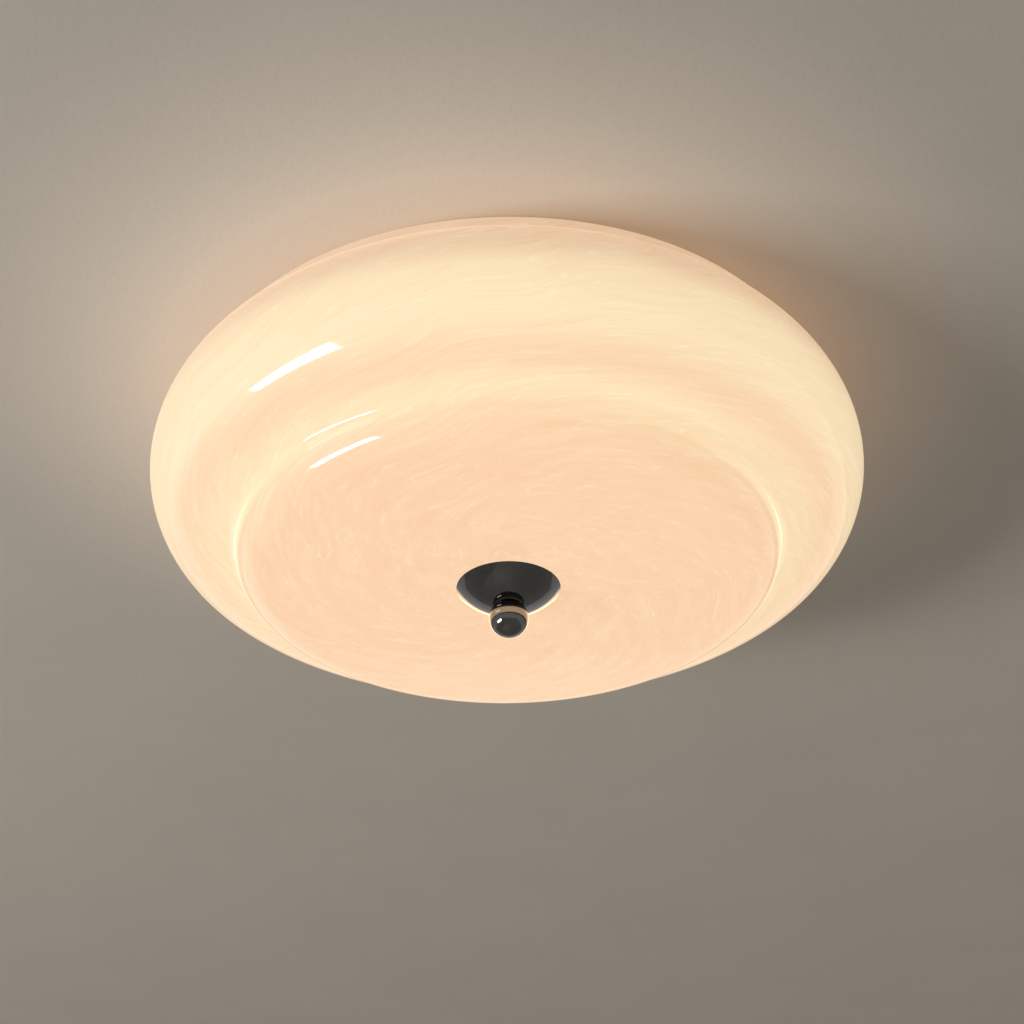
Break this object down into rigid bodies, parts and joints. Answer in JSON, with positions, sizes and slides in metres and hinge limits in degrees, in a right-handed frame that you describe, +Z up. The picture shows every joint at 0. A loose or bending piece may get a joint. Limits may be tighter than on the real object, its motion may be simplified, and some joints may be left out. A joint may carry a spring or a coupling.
{
  "type": "flush mount ceiling light",
  "caption": "Round flush mount ceiling light: a stepped opal glass shade held by a dish and finial on a central rod, over an LED board on a deep ceiling pan.",
  "frame": {"origin": "middle of the ceiling plane, midway between the two ceiling screw slots of the crossbar, on the rod's axis", "axes": "+Z up into the ceiling, the light hangs along -Z; +X along the crossbar"},
  "size_m": [0.3998, 0.3998, 0.1421],
  "materials": {
    "zinc_steel": "bright zinc plate",
    "galvanised_steel": "galvanised strip",
    "white_powder_coat": "satin white powder coat",
    "clear_silicone": "milky silicone",
    "black_rubber": "matt",
    "white_board": "white solder mask on an aluminium board",
    "led_phosphor": "phosphor under clear resin",
    "clear_lens": "clear moulded lens",
    "white_plastic": "fine moulded texture",
    "green_board": "green solder mask",
    "dark_component": "moulded parts",
    "natural_nylon": "natural nylon",
    "plain_brass": "turned",
    "brown_insulation": "lead insulation",
    "blue_insulation": "lead insulation",
    "green_yellow_insulation": "lead insulation",
    "red_insulation": "lead insulation",
    "black_insulation": "lead insulation",
    "opal_flake_glass": "opal glass with swirled flakes under a clear glossy skin",
    "black_nickel": "polished black nickel plate"
  },
  "bodies": {
    "base": {"crossbar": "galvanised_steel", "long_screws": "zinc_steel", "long_screw_nuts": "zinc_steel", "base_pan": "white_powder_coat", "pan_washers": "zinc_steel", "domed_nuts": "zinc_steel", "hollow_rod": "zinc_steel", "rod_upper_washer": "zinc_steel", "rod_upper_nut": "zinc_steel", "rod_lower_washer": "zinc_steel", "rod_lower_nut": "zinc_steel", "stop_pad": "clear_silicone", "stop_plate": "zinc_steel", "stop_nut": "zinc_steel", "lead_grommet": "black_rubber", "led_board": "white_board", "led_packages": "led_phosphor", "led_lenses": "clear_lens", "board_screws": "zinc_steel", "led_connector": "white_plastic", "driver_base": "white_plastic", "driver_case": "white_plastic", "driver_circuit_board": "green_board", "driver_parts": "dark_component", "driver_screws": "zinc_steel", "terminal_block": "natural_nylon", "terminal_inserts": "plain_brass", "terminal_screws": "zinc_steel", "terminal_fixing_screw": "zinc_steel", "earth_tag": "plain_brass", "earth_screw": "plain_brass", "live_lead": "brown_insulation", "neutral_lead": "blue_insulation", "earth_lead": "green_yellow_insulation", "led_positive_lead": "red_insulation", "led_negative_lead": "black_insulation"},
    "shade": {"glass_shade": "opal_flake_glass", "shade_bush": "clear_silicone"},
    "clamp": {"dish": "black_nickel", "dish_spacer": "natural_nylon"},
    "knob": {"finial": "black_nickel"}
  },
  "joints": [
    {"name": "shade_lowering", "type": "slide", "parent": "base", "child": "shade", "axis": [0, 0, -1], "range_m": [0, 0.15]},
    {"name": "clamp_lowering", "type": "slide", "parent": "shade", "child": "clamp", "axis": [0, 0, -1], "range_m": [0, 0.012]},
    {"name": "finial_turn", "type": "hinge", "parent": "clamp", "child": "knob", "pos_m": [0, 0, -0.1242], "axis": [0, 0, -1], "range_deg": [0, 4321]}
  ],
  "couplings": [
    {"joint": "finial_turn", "follows": "clamp_lowering", "rad_per_m": 6283.2}
  ]
}
